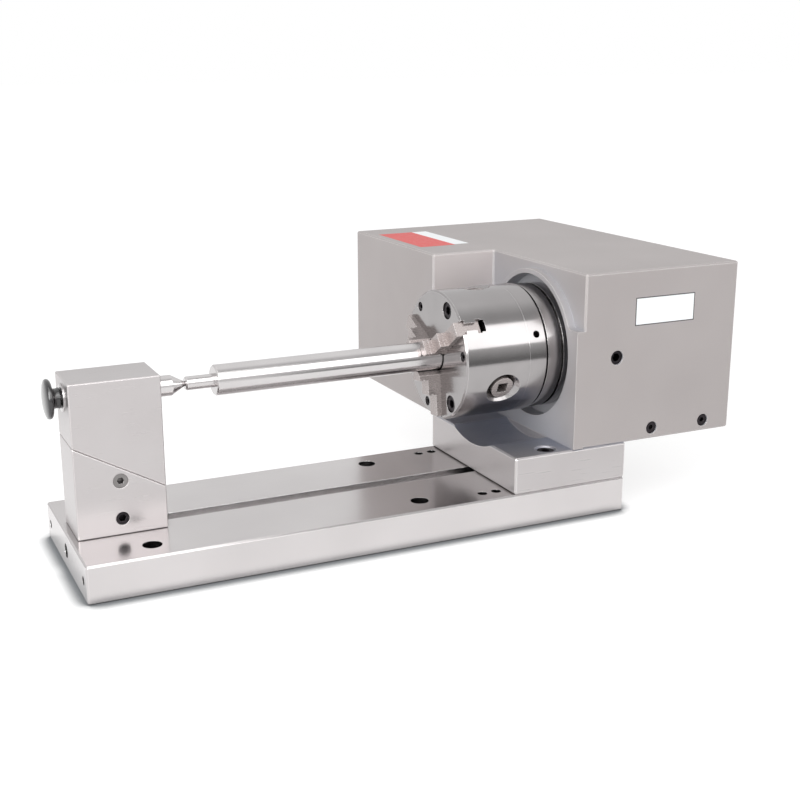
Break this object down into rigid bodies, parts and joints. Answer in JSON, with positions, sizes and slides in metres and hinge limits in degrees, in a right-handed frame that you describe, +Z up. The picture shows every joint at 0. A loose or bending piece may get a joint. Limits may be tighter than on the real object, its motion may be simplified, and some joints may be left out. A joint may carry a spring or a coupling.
{
  "type": "punch former",
  "caption": "Motorised punch former: a scroll chuck on a belt driven spindle faces a sprung centre on a slanted tailstock, on one base plate.",
  "frame": {"origin": "middle of the underside of the base plate", "axes": "+X along the spindle from the tailstock to the headstock, +Y to the motor side, +Z up"},
  "size_m": [0.4235, 0.253, 0.153],
  "materials": {
    "ground_steel": "surface ground tool steel",
    "grey_casting": "ground and satin plated housing",
    "turned_steel": "turned and polished steel",
    "jaw_steel": "hardened and ground steel",
    "bearing_steel": "polished bearing steel",
    "black_oxide": "black oxide on steel screws",
    "black_knob": "polished black plastic",
    "black_nylon": "moulded nylon gland",
    "belt_rubber": "flat rubber belt",
    "motor_enamel": "dark enamel on the motor",
    "pulley_aluminium": "turned aluminium",
    "spring_steel": "oiled spring wire"
  },
  "bodies": {
    "stand": {"base_plate": "ground_steel", "headstock_foot": "ground_steel", "headstock_housing": "grey_casting", "bottom_cover": "grey_casting", "end_cover": "grey_casting", "foot_screws": "black_oxide", "housing_screws": "black_oxide", "bottom_cover_screws": "black_oxide", "end_cover_screws": "black_oxide", "lock_screw": "black_oxide", "cable_gland": "black_nylon", "bearing_tube": "turned_steel", "bearing_outer_races": "bearing_steel", "bearing_balls": "bearing_steel", "motor_body": "motor_enamel", "motor_bracket": "motor_enamel", "motor_screws": "black_oxide", "drive_belt": "belt_rubber"},
    "spindle_set": {"spindle": "turned_steel", "bearing_inner_races": "bearing_steel", "bearing_nut": "turned_steel", "spindle_pulley": "pulley_aluminium", "pulley_nut": "turned_steel", "adaptor_plate": "turned_steel", "adaptor_screws": "black_oxide", "chuck_back_plate": "turned_steel", "chuck_body": "turned_steel", "chuck_mounting_screws": "black_oxide", "chuck_face_screws": "turned_steel"},
    "motor_rotor": {"motor_shaft": "turned_steel", "motor_pulley": "pulley_aluminium"},
    "scroll": {"scroll_plate": "jaw_steel"},
    "bar": {"test_bar": "turned_steel"},
    "tailstock": {"tail_base": "ground_steel", "tail_key": "ground_steel", "clamp_washer": "turned_steel"},
    "height_slide": {"tail_block": "ground_steel", "rear_bush": "turned_steel", "centre_spring": "spring_steel"},
    "centre": {"centre_quill": "turned_steel", "pull_knob": "black_knob"},
    "height_screw": {"height_clamp_screw": "turned_steel"},
    "stud": {"base_clamp_screw": "black_oxide"},
    "jaw_1": {"jaw_1": "jaw_steel"},
    "jaw_2": {"jaw_2": "jaw_steel"},
    "jaw_3": {"jaw_3": "jaw_steel"},
    "pinion_1": {"pinion_1": "jaw_steel"},
    "pinion_2": {"pinion_2": "jaw_steel"},
    "pinion_3": {"pinion_3": "jaw_steel"}
  },
  "joints": [
    {"name": "spindle_turn", "type": "hinge", "parent": "stand", "child": "spindle_set", "pos_m": [0.1378, 0, 0.1], "axis": [1, 0, 0], "continuous": true},
    {"name": "motor_turn", "type": "hinge", "parent": "stand", "child": "motor_rotor", "pos_m": [0.2, 0.117, 0.1], "axis": [1, 0, 0], "continuous": true},
    {"name": "scroll_turn", "type": "hinge", "parent": "spindle_set", "child": "scroll", "pos_m": [0.085, 0, 0.1], "axis": [1, 0, 0], "range_deg": [0, 576]},
    {"name": "tail_slide", "type": "slide", "parent": "stand", "child": "tailstock", "axis": [1, 0, 0], "range_m": [-0.002, 0.12]},
    {"name": "bar_feed", "type": "slide", "parent": "spindle_set", "child": "bar", "axis": [1, 0, 0], "range_m": [-0.002, 0.12]},
    {"name": "height_slide_up", "type": "slide", "parent": "tailstock", "child": "height_slide", "axis": [-0.8746, 0, 0.4848], "range_m": [0, 0.003]},
    {"name": "centre_pull", "type": "slide", "parent": "height_slide", "child": "centre", "axis": [1, 0, 0], "range_m": [-0.008, 0], "stiffness_N_per_m": 600, "springref_m": 0.01, "deforming": ["centre_spring"]},
    {"name": "height_screw_turn", "type": "hinge", "parent": "tailstock", "child": "height_screw", "pos_m": [-0.1395, -0.0146, 0.0535], "axis": [0, 1, 0], "range_deg": [0, 180]},
    {"name": "stud_turn", "type": "hinge", "parent": "tailstock", "child": "stud", "pos_m": [-0.1395, -0.01, 0.0315], "axis": [0, 1, 0], "range_deg": [0, 180]},
    {"name": "jaw_1_slide", "type": "slide", "parent": "spindle_set", "child": "jaw_1", "axis": [0, -0.809, 0.5878], "range_m": [0, 0.008]},
    {"name": "jaw_2_slide", "type": "slide", "parent": "spindle_set", "child": "jaw_2", "axis": [0, -0.1045, -0.9945], "range_m": [0, 0.008]},
    {"name": "jaw_3_slide", "type": "slide", "parent": "spindle_set", "child": "jaw_3", "axis": [0, 0.9135, 0.4067], "range_m": [0, 0.008]},
    {"name": "pinion_1_turn", "type": "hinge", "parent": "spindle_set", "child": "pinion_1", "pos_m": [0.0911, -0.03289, 0.08536], "axis": [0, -0.9135, -0.4067], "range_deg": [0, 2592]},
    {"name": "pinion_2_turn", "type": "hinge", "parent": "spindle_set", "child": "pinion_2", "pos_m": [0.0911, 0.02913, 0.07884], "axis": [0, 0.809, -0.5878], "range_deg": [0, 2592]},
    {"name": "pinion_3_turn", "type": "hinge", "parent": "spindle_set", "child": "pinion_3", "pos_m": [0.0911, 0.00376, 0.1358], "axis": [0, 0.1045, 0.9945], "range_deg": [0, 2592]}
  ],
  "couplings": [
    {"joint": "motor_turn", "follows": "spindle_turn", "ratio": 2},
    {"joint": "bar_feed", "follows": "tail_slide", "ratio": 1},
    {"joint": "jaw_1_slide", "follows": "scroll_turn", "m_per_rad": 0.00079577},
    {"joint": "jaw_2_slide", "follows": "scroll_turn", "m_per_rad": 0.00079577},
    {"joint": "jaw_3_slide", "follows": "scroll_turn", "m_per_rad": 0.00079577},
    {"joint": "pinion_1_turn", "follows": "scroll_turn", "ratio": 4.5},
    {"joint": "pinion_2_turn", "follows": "scroll_turn", "ratio": 4.5},
    {"joint": "pinion_3_turn", "follows": "scroll_turn", "ratio": 4.5}
  ]
}
